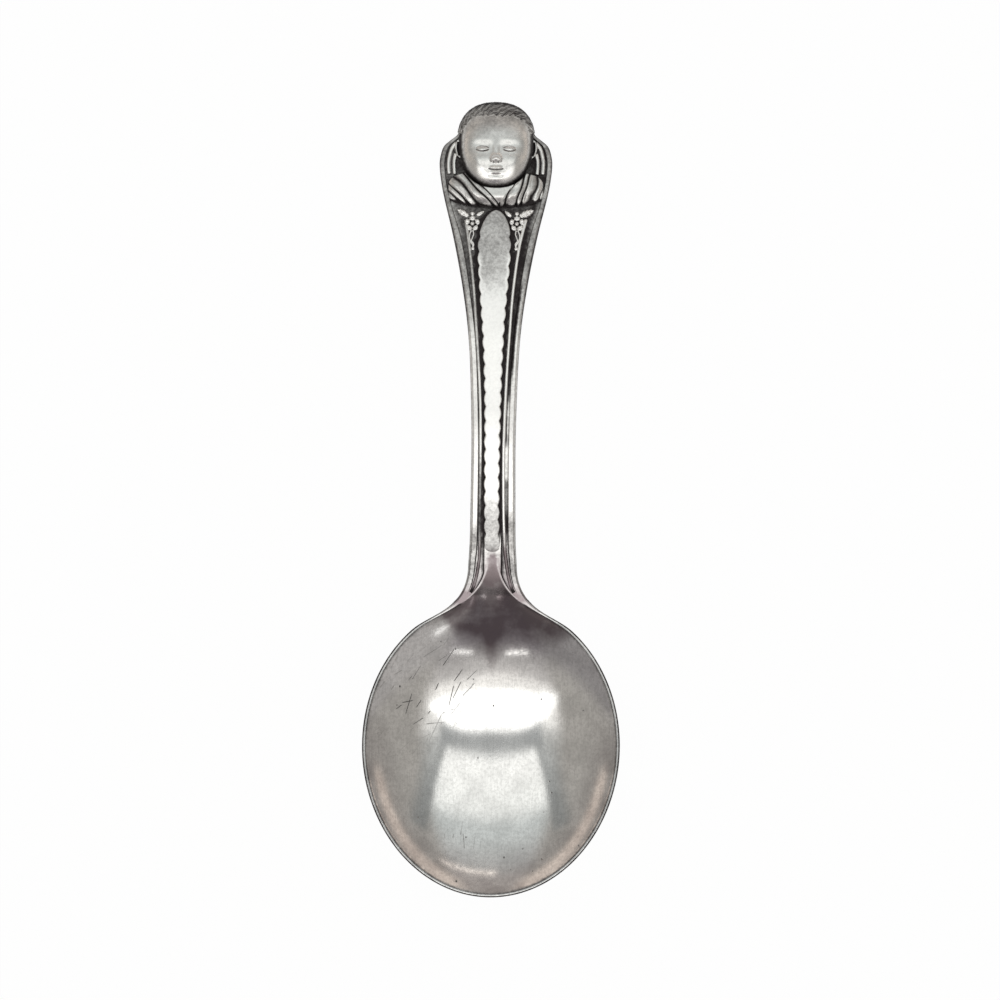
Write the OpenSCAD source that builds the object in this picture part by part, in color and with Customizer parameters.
// Baby spoon in silver plate: a round, shallow bowl, an arched handle with a scalloped
// panel between raised rails, two flower sprays, and the bust of an infant at its top.
// The spoon lies on its back: X across, Y towards the bust, Z up from the table.

/* [Spoon] */
// Length from the tip of the bowl to the crown of the head
overall_len = 110; // [100:1:125]
// Thickness of the blank in the middle of the handle
handle_thick = 2.1; // [1.8:0.1:2.6]
// Thickness of the neck, where the spoon is strongest
neck_thick = 2.7; // [2.3:0.1:3.2]
// Upright edge that runs round the whole blank
edge_land = 0.35; // [0.25:0.05:0.45]

/* [Bowl] */
// Width of the bowl over its rim
bowl_w = 35.6; // [32:0.2:39]
// Length of the bowl from its tip to the neck
bowl_len = 41.2; // [38:0.2:44]
// Depth of the hollow below the rim
bowl_depth = 6.7; // [5.5:0.1:7.5]
// Metal under the middle of the hollow
bowl_wall = 1.3; // [1:0.1:1.7]
// Flat land round the rim
rim_land = 0.5; // [0.35:0.05:0.8]
// How far the land is rounded down at the outline
rim_drop = 0.05; // [0.02:0.01:0.1]
// How much is worn off the underside where the bowl rests
foot_wear = 0.12; // [0.08:0.01:0.2]
// Length of the pointed trough that runs from the hollow into the neck
trough_len = 10.5; // [9:0.1:11]
// Width of the thin lip on each side of the trough
lip_w = 0.25; // [0.15:0.01:0.3]

/* [Handle] */
// Length of the neck, from the bowl to the foot of the panel
neck_len = 6.8; // [6.4:0.1:8]
// Width of the handle at its waist
waist_w = 6.1; // [5.6:0.1:6.8]
// Width of the handle over the shield behind the bust
shield_w = 15.6; // [14:0.2:17]
// Depth of the sunk ground below the borders
relief = 0.38; // [0.25:0.01:0.5]
// Width of the rolled border along the handle
border_w = 1.2; // [1:0.05:1.3]
// How far the border rolls down to its outer edge
border_drop = 0.7; // [0.5:0.05:0.8]
// Pull of the side profile where the handle rises from the bowl
arch_rise = 12.1; // [10:0.1:13]
// Pull of the side profile over the middle of the handle
arch_crest = 2.1; // [1.5:0.1:3]
// Pull of the side profile where the handle falls to its top
arch_fall = -0.3; // [-1:0.1:0.3]
// Height of the face of the handle at its top
tip_face_z = 2.25; // [2.2:0.05:3]

/* [Panel] */
// How far the sides of the panel stand beyond the flowers' inner edge, below them
panel_lap = 0.3; // [0.2:0.05:0.35]
// Width of the panel at its foot
panel_foot_w = 2.2; // [2:0.05:2.25]
// Number of scallops along each side
scallops = 21; // [16:1:24]
// Depth of each scallop
scallop_depth = 0.2; // [0.1:0.01:0.25]
// Crown of the panel above the level of the borders
panel_crown = 0.06; // [0:0.01:0.15]
// Width of the rails
rail_w = 0.3; // [0.2:0.01:0.34]
// Width of the lines beside the bust
line_w = 0.4; // [0.3:0.01:0.45]

/* [Flowers] */
// Gap between a flower and the rail beside it
flower_gap = 0.03; // [0.02:0.01:0.08]
// Distance of the flowers below the hem of the gown
flower_drop = 2.3; // [2.2:0.05:2.5]
// Radius of a flower over its petals
flower_r = 0.95; // [0.85:0.01:0.97]
// Radius of one petal
petal_r = 0.36; // [0.34:0.01:0.38]
// Height of a petal above the ground
petal_h = 0.42; // [0.3:0.01:0.5]
// Radius of the bead in the middle of a flower
bead_r = 0.27; // [0.24:0.01:0.3]
// Radius of the bud above a flower
bud_r = 0.33; // [0.28:0.01:0.35]
// Width of a leaf
leaf_w = 0.55; // [0.45:0.01:0.6]
// Height of a leaf at its middle line
leaf_h = 0.3; // [0.2:0.01:0.4]
// Width of a stem
stem_w = 0.2; // [0.15:0.01:0.24]

/* [Bust] */
// Length of the bust, from the crown of the head to the hem of the gown
bust_len = 14.7; // [14.5:0.1:15]
// Width of the shield that shows on each side of the head
head_margin = 2.65; // [2.5:0.05:2.9]
// Length of the head from chin to crown, without its hair
head_len = 11.7; // [11.3:0.1:12]
// Upright side of the head above the ground
head_side = 1; // [0.8:0.05:1.2]
// Rise of the face above that side
head_rise = 2.5; // [2:0.05:3]
// Thickness of the hair
hair_thick = 0.28; // [0.2:0.01:0.35]
// Length of an ear
ear_len = 2.5; // [2.2:0.1:2.8]
// How far an ear stands out from the head
ear_out = 0.6; // [0.45:0.01:0.65]
// Height of the gown at the neck
gown_h = 1.7; // [1.4:0.05:2]
// Depth of the folds of the gown
fold_depth = 0.16; // [0.1:0.01:0.3]

/* [Hidden] */
$fn = 32;

plate = "#b9b7b2";
bright = "#d6d5d1";
dark = "#8d8a86";

// Places along the spoon
top_y = overall_len / 2;
bowl_mid_y = bowl_len / 2 - top_y;
bowl_top_y = bowl_len - top_y;
stem_len = top_y - bowl_top_y;
rim_z = bowl_depth + bowl_wall;
shoulder_angle = 52;
egg_share = 0.015;
hollow_share = 2.3;

// Smooth curve through the rows [place, value] of a table
function row_before(rows, place, i = 0) =
    i >= len(rows) - 2 || place < rows[i + 1][0] ? i : row_before(rows, place, i + 1);
function rise_between(rows, i, k) = (rows[k][1] - rows[i][1]) / (rows[k][0] - rows[i][0]);
function slope_at(rows, i) =
    i == 0 ? rise_between(rows, 0, 1)
    : i == len(rows) - 1 ? rise_between(rows, i - 1, i)
    : rise_between(rows, i - 1, i + 1);
function follow(rows, place) =
    let (
        i = row_before(rows, place),
        span = rows[i + 1][0] - rows[i][0],
        u = min(1, max(0, (place - rows[i][0]) / span)),
        a = rows[i][1],
        b = rows[i + 1][1]
    )
    a + (b - a) * u * u * (3 - 2 * u)
    + span * u * (1 - u) * ((1 - u) * slope_at(rows, i) - u * slope_at(rows, i + 1));
function ease(u) = let (v = min(1, max(0, u))) v * v * (3 - 2 * v);
function lower_of(a, b, blend) =
    let (near = max(0, blend - abs(a - b)) / blend) min(a, b) - near * near * blend / 4;
function bezier(p, t) =
    p[0] * pow(1 - t, 3) + p[1] * 3 * t * pow(1 - t, 2) + p[2] * 3 * t * t * (1 - t) + p[3] * pow(t, 3);
function stem_y(share) = bowl_top_y + stem_len * share;
seam_y = bowl_top_y;
function neck_at(share) = seam_y + neck_len * share;
neck_y = neck_at(1);
function below_crown(share) = top_y - bust_len * share;
shield_foot_y = below_crown(1.78);
function waist_at(share) = neck_y + (shield_foot_y - neck_y) * share;
gown_hem_y = below_crown(1);
panel_gap = 0.4;
panel_top_y = gown_hem_y - panel_gap;
panel_len = panel_top_y - neck_y;

// Side profile of the face: one smooth curve from the bowl's shoulders to the top
arch_start_y = stem_y(-0.061);
arch_heights = [
    rim_z, rim_z, rim_z + arch_rise, rim_z + arch_crest, rim_z + arch_fall, tip_face_z
];
choose_shares = [1, 5, 10, 10, 5, 1];
function face_z(y) =
    let (t = max(0, (y - arch_start_y) / (top_y - arch_start_y)))
    [for (i = [0:5]) choose_shares[i] * pow(t, i) * pow(1 - t, 5 - i)] * arch_heights;

// Outline of the blank: an ellipse round the bowl, a flare into the neck, and the handle
function egg(half_w, half_l, angle) = [
    half_w * cos(angle) * (1 + egg_share * sin(angle)), bowl_mid_y + half_l * sin(angle)
];
function egg_half(half_w, half_l, y) =
    let (s = (y - bowl_mid_y) / half_l)
    half_w * (1 + egg_share * s) * sqrt(max(0, 1 - s * s));
function along_egg(half_w, half_l) =
    let (v = [-half_w * sin(shoulder_angle), half_l * cos(shoulder_angle)]) v / norm(v);
flare_end_share = 0.71;
flare_width_share = 0.063;
waist_row_shares = [
    [0.02, 0.03], [0.19, 0.01], [0.42, 0], [0.65, 0.042], [0.77, 0.085], [0.88, 0.16]
];
shield_row_shares = [
    [1.78, 0.288], [1.5, 0.442], [1.22, 0.625], [0.936, 0.84], [0.762, 0.947], [0.59, 1],
    [0.482, 0.95], [0.416, 0.86], [0.365, 0.68], [0.318, 0.5], [0.243, 0.4], [0.164, 0.27],
    [0.094, 0.08], [0.037, -0.22]
];
function half_width(share) = (waist_w + (shield_w - waist_w) * share) / 2;
handle_rows = [
    [neck_at(flare_end_share), half_width(flare_width_share)],
    for (r = waist_row_shares) [waist_at(r[0]), half_width(r[1])],
    for (r = shield_row_shares) [below_crown(r[0]), half_width(r[1])]
];
shoulder = egg(bowl_w / 2, bowl_len / 2, shoulder_angle);
flare_reach = 3.5;
neck_reach = 6.4;
flare = [
    shoulder,
    shoulder + along_egg(bowl_w / 2, bowl_len / 2) * flare_reach,
    [handle_rows[0][1], handle_rows[0][0] - neck_reach],
    [handle_rows[0][1], handle_rows[0][0]]
];
flare_rows = [for (i = [0:12]) let (p = bezier(flare, i / 12)) [p.y, p.x]];
function half_at(y) =
    y < shoulder.y ? egg_half(bowl_w / 2, bowl_len / 2, y)
    : y < handle_rows[0][0] ? follow(flare_rows, y)
    : follow(handle_rows, y);

// Edge of the hollow: an inner ellipse that runs up into the point of the trough
inner_w = bowl_w / 2 - rim_land;
inner_l = bowl_len / 2 - rim_land;
inner_shoulder = egg(inner_w, inner_l, shoulder_angle);
trough_tip_y = inner_shoulder.y + trough_len;
trough_reach = 5.2;
trough_half = 0.9;
trough_tip_half = 0.5;
trough_fall = 6.8;
trough = [
    inner_shoulder,
    inner_shoulder + along_egg(inner_w, inner_l) * trough_reach,
    [trough_half, trough_tip_y - trough_fall],
    [trough_tip_half, trough_tip_y]
];
trough_rows = [for (i = [0:12]) let (p = bezier(trough, i / 12)) [p.y, p.x]];
function hollow_half(y) =
    y < inner_shoulder.y ? egg_half(inner_w, inner_l, y)
    : y < trough_tip_y ? max(0, follow(trough_rows, y))
    : 0;

// Share of the way from the deepest point to the end of a hollow, along its middle line
function end_share(y, half_l, from_y) =
    y < from_y ? abs(y - bowl_mid_y) / half_l
    : let (
        left = 1 - (from_y - bowl_mid_y) / half_l,
        power = trough_len / (half_l * left),
        u = min(1, (y - from_y) / trough_len)
    ) 1 - left * pow(1 - u, power);
function sunk_share(x, y, half, middle) =
    half <= 0 ? 0
    : let (far = middle * middle + (1 - middle * middle) * pow(x / half, 2))
    max(0, 1 - pow(far, hollow_share / 2));
function hollow(x, y) =
    bowl_depth * sunk_share(x, y, hollow_half(y), end_share(y, inner_l, inner_shoulder.y));

// Borders: where the inner foot lies, and how they roll down to the edge
border_shares = [
    [0, 0.85], [0.04, 0.8], [0.1, 1.05], [0.2, 1.05], [0.45, 0.85], [0.6, 0.85], [0.72, 0.95],
    [0.8, 0.65], [0.9, 0.62], [0.99, 0.5]
];
border_rows = [for (r = border_shares) [stem_y(r[0]), border_w * r[1]]];
function border_foot(y) =
    max(hollow_half(y), half_at(y) - follow(border_rows, max(y, border_rows[0][0])));
crest_share = 0.35;
function rolled(across) =
    1 - sqrt(1 - pow(min(1, max(0, (across - crest_share) / (1 - crest_share))), 2));
function edge_drop(y) =
    rim_drop + (border_drop - rim_drop) * ease((y - shoulder.y) / (neck_y - shoulder.y));
least_land = rim_land / 100;
function across_border(x, y) =
    (abs(x) - border_foot(y)) / max(least_land, half_at(y) - border_foot(y));

// Sunk ground of the handle, which runs out in two channels down the neck
channel_end_y = neck_at(0.02);
channel_run_share = 0.63;
function sunk_depth(y) = relief * ease((y - channel_end_y) / (neck_len * channel_run_share));
function ground_z(y) = face_z(y) - sunk_depth(y);
function lip_half(y) = max(hollow_half(y) + lip_w, panel_foot_w / 2);

// Upper surface of the neck and bowl, and of the handle
wall_share = 0.16;
function front_z(x, y) =
    face_z(y) - hollow(x, y) - edge_drop(y) * rolled(across_border(x, y));
function handle_front_z(x, y) =
    front_z(x, y) - sunk_depth(y) * (1 - ease(across_border(x, y) / wall_share));

// Under surface: the bowl's, and the handle's, which runs out under the bowl as a heel
outer_depth = rim_z - rim_drop - edge_land + foot_wear;
thick_shares = [[-0.1, 1], [0.09, 1], [0.35, 0.1], [0.6, 0], [0.9, 0], [1, -0.1]];
function thick_at(y) =
    handle_thick
    + (neck_thick - handle_thick) * follow([for (r = thick_shares) [stem_y(r[0]), r[1]]], y);
function edge_z(y) = face_z(y) - edge_drop(y) - edge_land;
function bowl_back_z(x, y) =
    edge_z(y) - outer_depth * sunk_share(x, y, half_at(y), end_share(y, bowl_len / 2, shoulder.y));
back_power_share = 2.2;
function handle_back_z(x, y) =
    let (half = half_at(max(y, handle_rows[0][0])), flat_z = face_z(y) - thick_at(y))
    flat_z + (edge_z(y) - flat_z) * pow(abs(x) / half, back_power_share);
heel_blend = 2.2;
heel_least_share = 0.01;
heel_end_y = stem_y(-0.1);
function under_z(x, y) =
    max(0,
        y > neck_y ? handle_back_z(x, y)
        : y < heel_end_y ? bowl_back_z(x, y)
        : lower_of(
            bowl_back_z(x, y), handle_back_z(x, y),
            heel_blend * (heel_least_share + ease((neck_y - y) / (neck_y - shoulder.y)))
        )
    );

// Solid between two grids of points that match; rows run along Y, columns along X
module slab(top, bottom) {
    rows = len(top);
    cols = len(top[0]);
    under = rows * cols;
    last_r = rows - 1;
    last_c = cols - 1;
    points = [for (g = [top, bottom]) for (r = g) for (p = r) p];
    over = [
        for (r = [0:last_r - 1]) for (c = [0:last_c - 1])
            let (i = r * cols + c) [i, i + cols, i + cols + 1, i + 1]
    ];
    ends = [
        for (c = [0:last_c - 1]) for (r = [0, last_r])
            let (i = r * cols + c, f = [under + i, i, i + 1, under + i + 1])
            r == 0 ? f : [f[3], f[2], f[1], f[0]]
    ];
    sides = [
        for (r = [0:last_r - 1]) for (c = [0, last_c])
            let (i = r * cols + c, f = [under + i, i, i + cols, under + i + cols])
            c == 0 ? [f[3], f[2], f[1], f[0]] : f
    ];
    polyhedron(points, [
        for (f = over) f,
        for (f = over) [for (k = [3:-1:0]) f[k] + under],
        for (f = ends) f,
        for (f = sides) f
    ]);
}

// Solid skinned over closed rings, from the middle of its top round to the middle below
module skin(rings) {
    n = len(rings[0]);
    start = floor(n / 2);
    last = len(rings) - 1;
    polyhedron(
        [for (r = rings) for (p = r) p],
        [
            [for (i = [n - 1:-1:0]) (i + start) % n],
            for (k = [0:last - 1]) for (i = [0:n - 1])
                let (j = (i + 1) % n) [k * n + i, k * n + j, (k + 1) * n + j, (k + 1) * n + i],
            [for (i = [0:n - 1]) last * n + (i + start) % n]
        ]
    );
}

// Stations across the blank: the borders' rolls, and the face between their feet
roll_shares = [0.22, 0.5, 0.78, 0.94, 1];
face_shares = [-1, -0.5, 0, 0.5, 1];
function stations(y) =
    let (foot = border_foot(y), rest = half_at(y) - foot)
    [
        for (i = [len(roll_shares) - 1:-1:0]) -foot - rest * roll_shares[i],
        for (s = face_shares) foot * s,
        for (s = roll_shares) foot + rest * s
    ];
// Half of a row across the neck: place, and share of the ground's depth there
rim_least_share = 0.3;
lip_limit_share = 0.9;
function neck_half_row(y) =
    let (
        foot = border_foot(y),
        lip = min(lip_half(y), foot * lip_limit_share),
        rim = max(hollow_half(y), lip * rim_least_share),
        toe = lip + (foot - lip) * wall_share
    )
    [
        [0, 0], [rim / 2, 0], [rim, 0], [lip, 0], [toe, 1], [foot, 1],
        for (s = roll_shares) [foot + (half_at(y) - foot) * s, 0]
    ];
function mirrored(points) = [for (i = [len(points) - 1:-1:1]) [-points[i].x, points[i].y]];

// Bowl: round the outline, with a straight joint that meets the neck's own row
bowl_steps = 46;
joint_step = rim_land / 2;
flare_shares = [0.22, 0.42, 0.62, 0.82];
function joint_inside(x) =
    let (
        in_half = hollow_half(seam_y),
        share = max(0, (x - in_half) / (half_at(seam_y) - in_half)),
        y = seam_y - joint_step * (1 + share)
    )
    [hollow_half(y) * min(1, x / in_half), y];
function bowl_ring(edge) =
    let (
        w = edge ? bowl_w / 2 : inner_w,
        l = edge ? bowl_len / 2 : inner_l,
        row = neck_half_row(seam_y),
        joint = [for (p = row) edge ? [p.x, seam_y] : joint_inside(p.x)],
        flare_ys = [for (s = flare_shares) seam_y + (inner_shoulder.y - seam_y) * s],
        side = [for (y = flare_ys) [edge ? half_at(y) : hollow_half(y), y]]
    )
    [
        for (i = [len(joint) - 1:-1:0]) joint[i],
        for (i = [1:len(joint) - 1]) [-joint[i].x, joint[i].y],
        for (p = side) [-p.x, p.y],
        for (i = [0:bowl_steps])
            egg(w, l, 180 - shoulder_angle + (180 + 2 * shoulder_angle) * i / bowl_steps),
        for (i = [len(side) - 1:-1:0]) side[i]
    ];
function drawn_in(ring, share) = [for (p = ring) [p.x * share, bowl_mid_y + (p.y - bowl_mid_y) * share]];
hollow_ring_shares = [0.14, 0.3, 0.45, 0.6, 0.74, 0.86, 0.95, 1];
land_shares = [0.6, 0.88, 1];
under_ring_shares = [1, 0.95, 0.86, 0.74, 0.6, 0.45, 0.3];
foot_share = 0.98 * pow(foot_wear / outer_depth, 1 / hollow_share);
module bowl() {
    inner = bowl_ring(false);
    outer = bowl_ring(true);
    color(plate)
        skin([
            for (s = hollow_ring_shares)
                [for (p = drawn_in(inner, s)) [p.x, p.y, front_z(p.x, p.y)]],
            for (s = land_shares)
                [for (i = [0:len(inner) - 1])
                    let (p = inner[i] + (outer[i] - inner[i]) * s) [p.x, p.y, front_z(p.x, p.y)]],
            for (s = under_ring_shares)
                [for (p = drawn_in(outer, s)) [p.x, p.y, under_z(p.x, p.y)]],
            [for (p = drawn_in(outer, foot_share)) [p.x, p.y, 0]]
        ]);
}

// Neck: the trough between its lips, the two channels, and the flared borders
neck_steps = 10;
module neck() {
    ys = [for (i = [0:neck_steps]) seam_y + (neck_y - seam_y) * i / neck_steps];
    function row(y) = let (half = neck_half_row(y)) [each mirrored(half), each half];
    color(plate)
        slab(
            [for (y = ys) [for (p = row(y)) [p.x, y, front_z(p.x, y) - sunk_depth(y) * p.y]]],
            [for (y = ys) [for (p = row(y)) [p.x, y, under_z(p.x, y)]]]
        );
}

blank_end_y = handle_rows[len(handle_rows) - 1][0];
shield_y = below_crown(0.7);
handle_steps = 27;
shield_steps = 18;
module handle() {
    ys = [
        for (i = [0:handle_steps - 1]) neck_y + (shield_y - neck_y) * i / handle_steps,
        for (i = [0:shield_steps]) shield_y + (blank_end_y - shield_y) * i / shield_steps
    ];
    color(plate)
        slab(
            [for (y = ys) [for (x = stations(y)) [x, y, handle_front_z(x, y)]]],
            [for (y = ys) [for (x = stations(y)) [x, y, under_z(x, y)]]]
        );
}

// Courses of the rails, and the places of the flowers and panel between them
rail_neck_shares = [[0.1, 0.405], [0.2, 0.352], [0.46, 0.255], [0.91, 0.18]];
rail_waist_shares = [
    [0.06, 0.172], [0.19, 0.175], [0.39, 0.186], [0.67, 0.243], [0.85, 0.294], [1, 0.348]
];
rail_top_shares = [[1.4, 0.435], [1.08, 0.549], [0.98, 0.589]];
rail_rows = [
    for (r = rail_neck_shares) [neck_at(r[0]), shield_w / 2 * r[1]],
    for (r = rail_waist_shares) [waist_at(r[0]), shield_w / 2 * r[1]],
    for (r = rail_top_shares) [below_crown(r[0]), shield_w / 2 * r[1]]
];
flower_y = gown_hem_y - flower_drop;
flower_x = follow(rail_rows, flower_y) - rail_w / 2 - flower_gap - flower_r;
panel_w = 2 * (flower_x - flower_r + panel_lap);

// Panel: rounded at its head, tapering to its foot, with scalloped sides
panel_width_shares = [
    [0, 0], [0.3, 0.03], [0.5, 0.16], [0.65, 0.42], [0.8, 0.85], [0.87, 1], [1, 1]
];
scallop_first_share = 0.047;
scallop_last_share = 0.918;
panel_round_share = 2.25;
panel_round_y = panel_top_y - flower_drop * panel_round_share;
function panel_plain(y) =
    (panel_foot_w
        + (panel_w - panel_foot_w) * follow(panel_width_shares, (y - neck_y) / panel_len)) / 2;
function panel_rounding(y) =
    sqrt(1 - pow(max(0, (y - panel_round_y) / (panel_top_y - panel_round_y)), 2));
scallop_pitch = panel_len * (scallop_last_share - scallop_first_share) / scallops;
scallop_shares = [0, 0.25, 0.5, 0.75];
function scallop_y(k) = neck_y + panel_len * scallop_first_share + scallop_pitch * k;
// Rows up the panel: its plain foot, the scallops, and its plain round head
panel_foot_shares = [0, 0.35, 0.7];
panel_head_shares = [0, 0.2, 0.4, 0.6, 0.75, 0.88, 0.96, 0.995];
panel_rows = [
    for (s = panel_foot_shares) let (y = neck_y + (scallop_y(0) - neck_y) * s)
        [y, panel_plain(y)],
    for (k = [0:scallops - 1]) for (s = scallop_shares) let (y = scallop_y(k + s))
        [y, (panel_plain(y) - scallop_depth * (1 - sin(180 * s))) * panel_rounding(y)],
    for (s = panel_head_shares)
        let (from = scallop_y(scallops), y = from + (panel_top_y - from) * s)
        [y, (panel_plain(y) - scallop_depth * (1 - ease(4 * s))) * panel_rounding(y)]
];
panel_bevel_share = 0.12;
panel_across_shares = [-1, panel_bevel_share - 1, 0, 1 - panel_bevel_share, 1];
panel_lift_shares = [0.35, 0.9, 1, 0.9, 0.35];
module name_panel() {
    color(bright)
        slab(
            [for (r = panel_rows) [for (c = [0:4])
                [r[1] * panel_across_shares[c], r[0],
                    ground_z(r[0]) + (sunk_depth(r[0]) + panel_crown) * panel_lift_shares[c]]]],
            [for (r = panel_rows) [for (s = panel_across_shares) [r[1] * s, r[0], ground_z(r[0])]]]
        );
}

// Rails: thin ridges that follow the borders and run out down the neck
ridge_across_shares = [-0.5, -0.2, 0.2, 0.5];
ridge_lift_shares = [0.45, 1, 1, 0.45];
module ridge(spine, width, height_share) {
    last = len(spine) - 1;
    function across(i) =
        let (v = spine[min(last, i + 1)] - spine[max(0, i - 1)]) [v.y, -v.x] / norm(v);
    function row(i) = [for (s = ridge_across_shares) spine[i] + across(i) * s * width];
    slab(
        [for (i = [0:last]) [for (c = [0:3]) let (p = row(i)[c])
            [p.x, p.y, ground_z(p.y) + sunk_depth(p.y) * height_share * ridge_lift_shares[c]]]],
        [for (i = [0:last]) [for (p = row(i)) [p.x, p.y, ground_z(p.y)]]]
    );
}
rail_steps = 36;
rail_gather_share = 1.4;
rail_top_y = below_crown(1.11);
rail_end_y = neck_at(0.13);
rail_h_share = 0.95;
module rail(side) {
    ys = [
        for (i = [0:rail_steps])
            rail_end_y + (rail_top_y - rail_end_y) * pow(i / rail_steps, rail_gather_share)
    ];
    color(bright)
        ridge([for (y = ys) [side * follow(rail_rows, y), y]], rail_w, rail_h_share);
}
module rail_left() { rail(-1); }
module rail_right() { rail(1); }

// Shield lines: two ridges on each side of the bust that follow the outline
line_in_shares = [0.47, 0.77];
line_from_share = 0.69;
line_to_share = 0.43;
line_gap = 0.05;
line_steps = 10;
function line_x(y, k) =
    max(
        half_at(y) - head_margin * line_in_shares[k],
        head_half_at(y) + ear_reach(y) + line_gap + line_w / 2
    );
function line_end_y(k) = k == 0 ? below_crown(line_to_share) : ear_y - ear_len / 2 - line_gap;
module shield_lines(side) {
    color(bright)
        for (k = [0, 1]) {
            from = below_crown(line_from_share);
            to = line_end_y(k);
            ys = [for (i = [0:line_steps]) from + (to - from) * i / line_steps];
            ridge([for (y = ys) [side * line_x(y, k), y]], line_w, rail_h_share);
        }
}
module shield_lines_left() { shield_lines(-1); }
module shield_lines_right() { shield_lines(1); }

// Flowers and buds: rounded caps of metal on the ground, which slopes there
function ground_tilt(y) = atan((ground_z(y + bead_r) - ground_z(y - bead_r)) / (2 * bead_r));
module on_ground(x, y) {
    translate([x, y, ground_z(y)]) rotate([ground_tilt(y), 0, 0]) children();
}
module cap(r, h) {
    ball = (r * r + h * h) / (2 * h);
    rotate_extrude()
        intersection() {
            translate([0, h - ball]) circle(ball, $fn = 96);
            square([r, h]);
        }
}
petals = 5;
module flower(side) {
    color(plate)
        on_ground(side * flower_x, flower_y) {
            cap(bead_r, petal_h);
            for (i = [0:petals - 1])
                rotate([0, 0, 90 + 360 * i / petals])
                    translate([flower_r - petal_r, 0, 0]) cap(petal_r, petal_h);
        }
}
module flower_left() { flower(-1); }
module flower_right() { flower(1); }

bud_gap = 0.15;
bud_y = flower_y + flower_r + bud_r + bud_gap;
module bud(side) { color(plate) on_ground(side * flower_x, bud_y) cap(bud_r, bud_r); }
module bud_left() { bud(-1); }
module bud_right() { bud(1); }

// Leaves: pointed ovals with a raised middle line, from the flower outwards and inwards
leaf_steps = 8;
leaf_tip_share = 0.04;
leaf_edge_share = 0.35;
leaf_place_shares = [[[0.79, 1], [2.15, 1.85]], [[-0.88, 0.98], [-1.72, 1.8]]];
function leaf_grid(a, b, height) = [
    for (i = [0:leaf_steps])
        let (
            s = leaf_tip_share + (1 - 2 * leaf_tip_share) * i / leaf_steps,
            swell = sqrt(sin(180 * s)),
            d = (b - a) / norm(b - a)
        )
        [for (c = [-1, 0, 1])
            let (p = a + (b - a) * s + [d.y, -d.x] * leaf_w / 2 * swell * c)
            [p.x, p.y, ground_z(p.y) + height * swell * (c == 0 ? 1 : leaf_edge_share)]]
];
function beside(side, place) = [side * (flower_x + flower_r * place.x), flower_y + flower_r * place.y];
module leaves(side) {
    color(plate)
        for (place = leaf_place_shares) {
            ends = [for (p = place) beside(side, p)];
            slab(leaf_grid(ends[0], ends[1], leaf_h), leaf_grid(ends[0], ends[1], 0));
        }
}
module leaves_left() { leaves(-1); }
module leaves_right() { leaves(1); }

// Stems: two strands under each flower that part, close in again and end over a bead
strand_place_shares = [
    [[0.16, -1.14], [0.38, -1.65], [0.34, -2.25], [0.1, -2.8], [0.04, -3.26]],
    [[-0.12, -1.14], [-0.24, -1.65], [-0.22, -2.2], [-0.26, -2.75], [-0.25, -3.26]]
];
bead_place_share = [-0.1, -3.65];
stem_h_share = 0.8;
stem_steps = 8;
function through(points, u) =
    [for (k = [0, 1]) follow([for (i = [0:len(points) - 1]) [i, points[i][k]]], u * (len(points) - 1))];
module stem(side) {
    bead = beside(side, bead_place_share);
    color(plate) {
        for (places = strand_place_shares) {
            spine = [for (p = places) beside(side, p)];
            ridge([for (i = [0:stem_steps]) through(spine, i / stem_steps)], stem_w, stem_h_share);
        }
        on_ground(bead.x, bead.y) cap(bead_r, bead_r);
    }
}
module stem_left() { stem(-1); }
module stem_right() { stem(1); }

// Head: a domed infant's head on the ground of the shield
head_half = shield_w / 2 - head_margin;
head_l = head_len / 2;
head_y = top_y - hair_thick - head_l;
head_round_share = 2 / 2.3;
crown_share = 0.07;
function signed(v, power) = sign(v) * pow(abs(v), power);
function head_at(angle, share) = [
    share * head_half * signed(cos(angle), head_round_share) * (1 + crown_share * sin(angle)),
    head_y + share * head_l * signed(sin(angle), head_round_share)
];
function head_half_at(y) =
    let (s = (y - head_y) / head_l)
    head_half * pow(max(0, 1 - pow(abs(s), 2 / head_round_share)), head_round_share / 2)
    * (1 + crown_share * signed(s, 1 / head_round_share));
// Features of the face: place across and along, size across and along, height
feature_shares = [
    [0, 0.5, 0.55, 0.32, 0.05],
    [0.37, 0.02, 0.2, 0.12, -0.13],
    [0.37, 0, 0.12, 0.06, 0.1],
    [0, -0.12, 0.13, 0.2, 0.1],
    [0, -0.27, 0.14, 0.1, 0.2],
    [0.45, -0.36, 0.24, 0.2, 0.09],
    [0, -0.5, 0.2, 0.06, 0.1],
    [0, -0.62, 0.2, 0.05, -0.06],
    [0, -0.78, 0.2, 0.12, 0.1]
];
function bump(x, y, f) = f[4] * exp(-pow((x - f[0]) / f[2], 2) - pow((y - f[1]) / f[3], 2));
function feature(x, y) =
    [for (f = feature_shares) bump(x, y, f) + (f[0] > 0 ? bump(-x, y, f) : 0)]
    * [for (f = feature_shares) 1];
function head_z(angle, share) =
    let (p = head_at(angle, share), x = p.x / head_half, y = (p.y - head_y) / head_l)
    ground_z(p.y) + head_side
    + head_rise * (sqrt(1 - pow(share, 2.6)) + feature(x, y) * (1 - pow(share, 4)));
head_steps = 52;
head_ring_shares = [0.1, 0.17, 0.25, 0.33, 0.42, 0.51, 0.6, 0.69, 0.78, 0.86, 0.93, 0.98, 1];
head_base_shares = [1, 0.75, 0.5, 0.25];
function turn(i) = 360 * i / head_steps;
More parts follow.
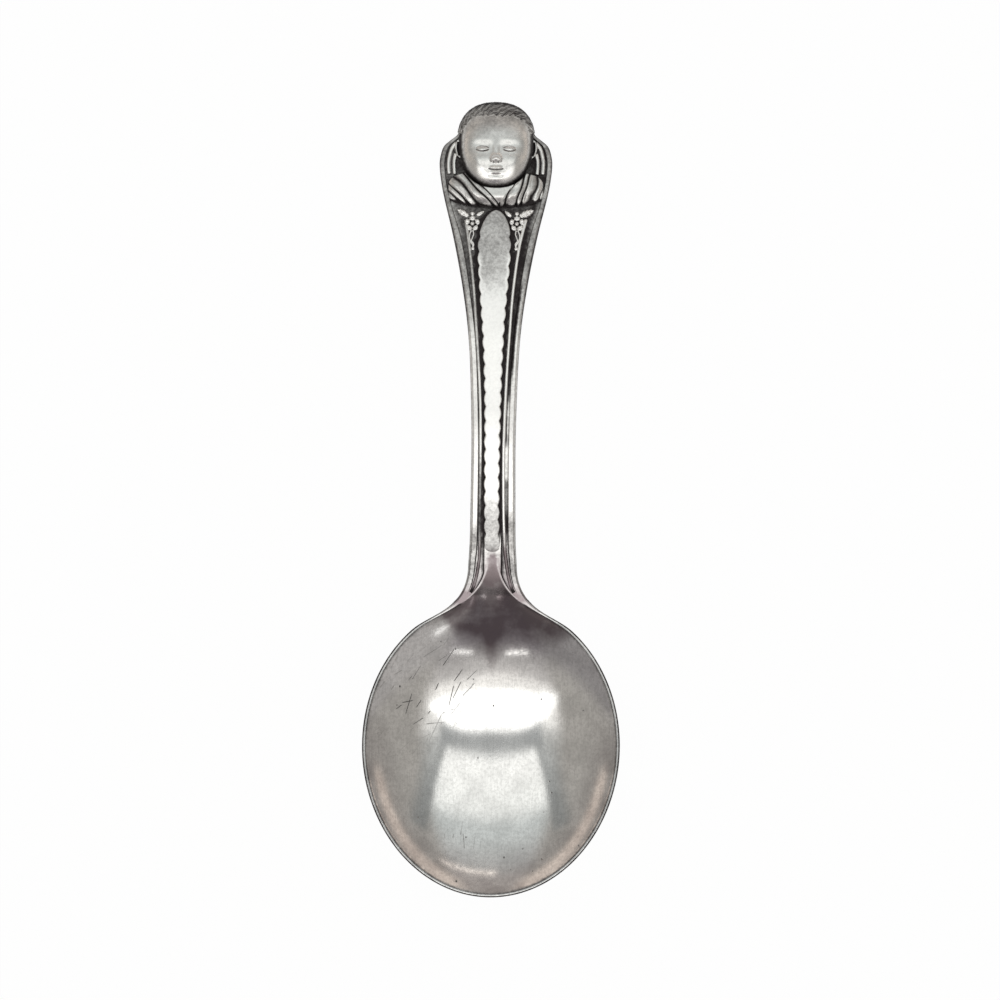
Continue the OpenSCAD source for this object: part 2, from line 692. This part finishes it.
module head() {
    color(bright)
        skin([
            for (s = head_ring_shares) [for (i = [0:head_steps - 1])
                let (p = head_at(turn(i), s)) [p.x, p.y, head_z(turn(i), s)]],
            for (s = head_base_shares) [for (i = [0:head_steps - 1])
                let (p = head_at(turn(i), s)) [p.x, p.y, ground_z(p.y)]]
        ]);
}

// Hair: a short cap over the crown that thins towards the hairline
hair_from = 14;
hair_steps = 26;
hair_row_shares = [1, 0.75, 0.5, 0.25, 0];
hair_thin_share = 0.35;
hairline_share = 0.7;
temple_share = 0.24;
function hairline(angle) = hairline_share + temple_share * pow(abs(cos(angle)), 1.5);
function scalp(angle, s) =
    let (share = hairline(angle) + (1 - hairline(angle)) * s, p = head_at(angle, share))
    [p.x, p.y, head_z(angle, share)];
function outward(p, thick) =
    let (v = p - [0, head_y, ground_z(p.y)]) p + v / norm(v) * thick;
module hair() {
    angles = [for (i = [0:hair_steps]) 180 - hair_from - (180 - 2 * hair_from) * i / hair_steps];
    color(dark)
        slab(
            [for (s = hair_row_shares) [for (a = angles)
                outward(scalp(a, s), hair_thick * (hair_thin_share + (1 - hair_thin_share) * ease(2 * s)))]],
            [for (s = hair_row_shares) [for (a = angles) scalp(a, s)]]
        );
}

// Ears: small rims that stand against the sides of the head
ear_low_share = 0.08;
ear_y = head_y - head_l * ear_low_share;
ear_steps = 8;
ear_out_shares = [0, 0.35, 0.7, 1];
ear_lift_shares = [0.75, 0.6, 0.9, 0.5];
ear_least_share = 0.13;
function ear_reach(y) = ear_out * sqrt(max(0, 1 - pow((y - ear_y) / (ear_len / 2), 2)));
module ear(side) {
    ys = [for (i = [0:ear_steps]) ear_y + ear_len * (i / ear_steps - 0.5)];
    function out(y) = max(ear_out * ear_least_share, ear_reach(y));
    function row(y, lift) = [for (k = side > 0 ? [0:3] : [3:-1:0])
        [side * (head_half_at(y) + out(y) * ear_out_shares[k]), y,
            ground_z(y) + head_side * lift * ear_lift_shares[k]]];
    color(bright) slab([for (y = ys) row(y, 1)], [for (y = ys) row(y, 0)]);
}
module ear_left() { ear(-1); }
module ear_right() { ear(1); }

// Gown: gathered cloth from the chin to the shoulders, struck in the metal
gown_half_share = 0.99;
gown_half = border_foot(below_crown(0.79)) * gown_half_share;
gown_steps = 32;
gown_row_shares = [0, 0.1, 0.24, 0.4, 0.56, 0.72, 0.88, 1];
gown_shoulder_shares = [[0, 0.3], [0.35, 0.33], [0.6, 0.36], [0.85, 0.28], [0.95, 0.18], [1, 0.05]];
hem_rise = 1.1;
hem_share = 0.1;
hem_lift_share = 0.35;
gown_round_share = 2.4;
gown_swell_share = 0.62;
folds_share = 2.5;
left_lean_share = 0.55;
right_lean_share = 0.15;
function chin_y(x) =
    head_y - head_l
    * pow(1 - pow(min(1, abs(x) / head_half), 2 / head_round_share), head_round_share / 2);
function gown_top_y(u) =
    min(chin_y(u * gown_half), head_y - head_l * (1 - follow(gown_shoulder_shares, abs(u))));
function gown_bottom_y(u) = gown_hem_y + hem_rise * pow(abs(u), 3);
function gown_lift(u, v) =
    let (
        w = abs(u),
        body = sqrt(max(0, 1 - pow(w, gown_round_share)))
            * (hem_lift_share + (1 - hem_lift_share) * ease(v / gown_swell_share)),
        lean = (u < 0 ? left_lean_share : right_lean_share) * v * min(1, 3 * w),
        fold = cos(360 * (folds_share * w - lean)) * (1 - pow(w, 4)) * ease(2 * v)
    )
    max(gown_h * hem_share, gown_h * body + fold_depth * fold);
module gown() {
    function grid(lift) = [
        for (v = gown_row_shares) [for (i = [0:gown_steps])
            let (u = 2 * i / gown_steps - 1, y = gown_bottom_y(u) + (gown_top_y(u) - gown_bottom_y(u)) * v)
            [u * gown_half, y, ground_z(y) + lift * gown_lift(u, v)]]
    ];
    color(plate) slab(grid(1), grid(0));
}

bowl();
neck();
handle();
name_panel();
rail_left();
rail_right();
shield_lines_left();
shield_lines_right();
flower_left();
flower_right();
bud_left();
bud_right();
leaves_left();
leaves_right();
stem_left();
stem_right();
gown();
head();
ear_left();
ear_right();
hair();
